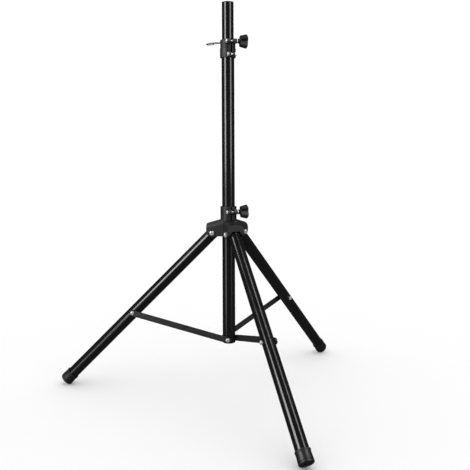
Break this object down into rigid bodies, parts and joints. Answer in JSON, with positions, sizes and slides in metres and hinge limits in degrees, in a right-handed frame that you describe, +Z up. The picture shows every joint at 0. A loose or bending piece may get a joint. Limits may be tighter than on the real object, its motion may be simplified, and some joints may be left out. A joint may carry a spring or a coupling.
{
  "type": "speaker tripod stand",
  "caption": "Folding tripod floor stand with a telescoping mast, moulded hub, flat braces, clamp knobs, a safety pin and rubber feet, for a pole-mounted loudspeaker.",
  "frame": {"origin": "on the floor, under the axis of the column and mast", "axes": "+Z up along the mast, -Y along the front leg, +X to the clamp knobs"},
  "size_m": [0.9278, 0.809, 1.17],
  "materials": {
    "black_enamel": "gloss black powder enamel on steel tube",
    "brace_enamel": "satin black enamel on flat steel bar",
    "moulded_hub": "fine-textured black glass-filled nylon",
    "knob_plastic": "satin black moulded plastic",
    "black_plug": "matt black moulded plastic",
    "foot_rubber": "matt black rubber",
    "zinc_steel": "bright zinc plate",
    "brass_insert": "plain brass",
    "chrome_pin": "bright chrome"
  },
  "bodies": {
    "hub": {"hub_bracket": "moulded_hub", "leg_hinge_bolts": "zinc_steel", "leg_hinge_nuts": "zinc_steel", "hub_clamp_bolt": "zinc_steel", "hub_clamp_washer": "zinc_steel"},
    "hub_knob": {"hub_knob": "knob_plastic", "hub_knob_insert": "brass_insert"},
    "column": {"column_tube": "black_enamel", "column_plug": "black_plug", "upper_collar": "moulded_hub", "collar_bolt": "zinc_steel", "collar_nut": "zinc_steel", "upper_clamp_bolt": "zinc_steel", "upper_clamp_washer": "zinc_steel"},
    "upper_knob": {"upper_knob": "knob_plastic", "upper_knob_insert": "brass_insert"},
    "locking_pin": {"locking_pin": "chrome_pin"},
    "mast": {"mast_tube": "black_enamel", "mast_cap": "black_plug", "mast_guide_bush": "black_plug"},
    "front_leg": {"front_leg_tube": "black_enamel", "front_leg_plug": "black_plug", "front_foot": "foot_rubber", "front_brace_spacer": "black_plug", "front_brace_bolt": "zinc_steel", "front_brace_nut": "zinc_steel"},
    "front_brace": {"front_brace": "brace_enamel", "front_brace_stud": "zinc_steel"},
    "right_leg": {"right_leg_tube": "black_enamel", "right_leg_plug": "black_plug", "right_foot": "foot_rubber", "right_brace_spacer": "black_plug", "right_brace_bolt": "zinc_steel", "right_brace_nut": "zinc_steel"},
    "right_brace": {"right_brace": "brace_enamel", "right_brace_stud": "zinc_steel"},
    "left_leg": {"left_leg_tube": "black_enamel", "left_leg_plug": "black_plug", "left_foot": "foot_rubber", "left_brace_spacer": "black_plug", "left_brace_bolt": "zinc_steel", "left_brace_nut": "zinc_steel"},
    "left_brace": {"left_brace": "brace_enamel", "left_brace_stud": "zinc_steel"}
  },
  "joints": [
    {"name": "column_slide", "type": "slide", "parent": "hub", "child": "column", "axis": [0, 0, 1], "range_m": [-0.33245, 0]},
    {"name": "front_leg_hinge", "type": "hinge", "parent": "hub", "child": "front_leg", "pos_m": [0, -0.0465, 0.48525], "axis": [1, 0, 0], "range_deg": [0, 45.01]},
    {"name": "front_brace_pivot", "type": "hinge", "parent": "front_leg", "child": "front_brace", "pos_m": [0, -0.2954, 0.23635], "axis": [-1, 0, 0], "range_deg": [0, 112.76]},
    {"name": "right_leg_hinge", "type": "hinge", "parent": "hub", "child": "right_leg", "pos_m": [0.04027, 0.02325, 0.48525], "axis": [-0.5, 0.866, 0], "range_deg": [0, 45.01]},
    {"name": "right_brace_pivot", "type": "hinge", "parent": "right_leg", "child": "right_brace", "pos_m": [0.25583, 0.1477, 0.23635], "axis": [0.5, -0.866, 0], "range_deg": [0, 112.76]},
    {"name": "left_leg_hinge", "type": "hinge", "parent": "hub", "child": "left_leg", "pos_m": [-0.04027, 0.02325, 0.48525], "axis": [-0.5, -0.866, 0], "range_deg": [0, 45.01]},
    {"name": "left_brace_pivot", "type": "hinge", "parent": "left_leg", "child": "left_brace", "pos_m": [-0.25583, 0.1477, 0.23635], "axis": [0.5, 0.866, 0], "range_deg": [0, 112.76]},
    {"name": "mast_slide", "type": "slide", "parent": "column", "child": "mast", "axis": [0, 0, 1], "range_m": [0, 0.63]},
    {"name": "locking_pin_slide", "type": "slide", "parent": "column", "child": "locking_pin", "axis": [-0.7071, 0.7071, 0], "range_m": [-0.02, 0.012]},
    {"name": "upper_knob_turn", "type": "hinge", "parent": "column", "child": "upper_knob", "pos_m": [0.0225, -0.032, 1.0515], "axis": [1, 0, 0], "range_deg": [0, 450]},
    {"name": "hub_knob_turn", "type": "hinge", "parent": "hub", "child": "hub_knob", "pos_m": [0.0225, -0.032, 0.54955], "axis": [1, 0, 0], "range_deg": [0, 450]}
  ],
  "couplings": [
    {"joint": "front_leg_hinge", "follows": "column_slide", "rad_per_m": -2.3624},
    {"joint": "front_brace_pivot", "follows": "column_slide", "rad_per_m": -5.9171},
    {"joint": "right_leg_hinge", "follows": "column_slide", "rad_per_m": -2.3624},
    {"joint": "right_brace_pivot", "follows": "column_slide", "rad_per_m": -5.9171},
    {"joint": "left_leg_hinge", "follows": "column_slide", "rad_per_m": -2.3624},
    {"joint": "left_brace_pivot", "follows": "column_slide", "rad_per_m": -5.9171}
  ]
}
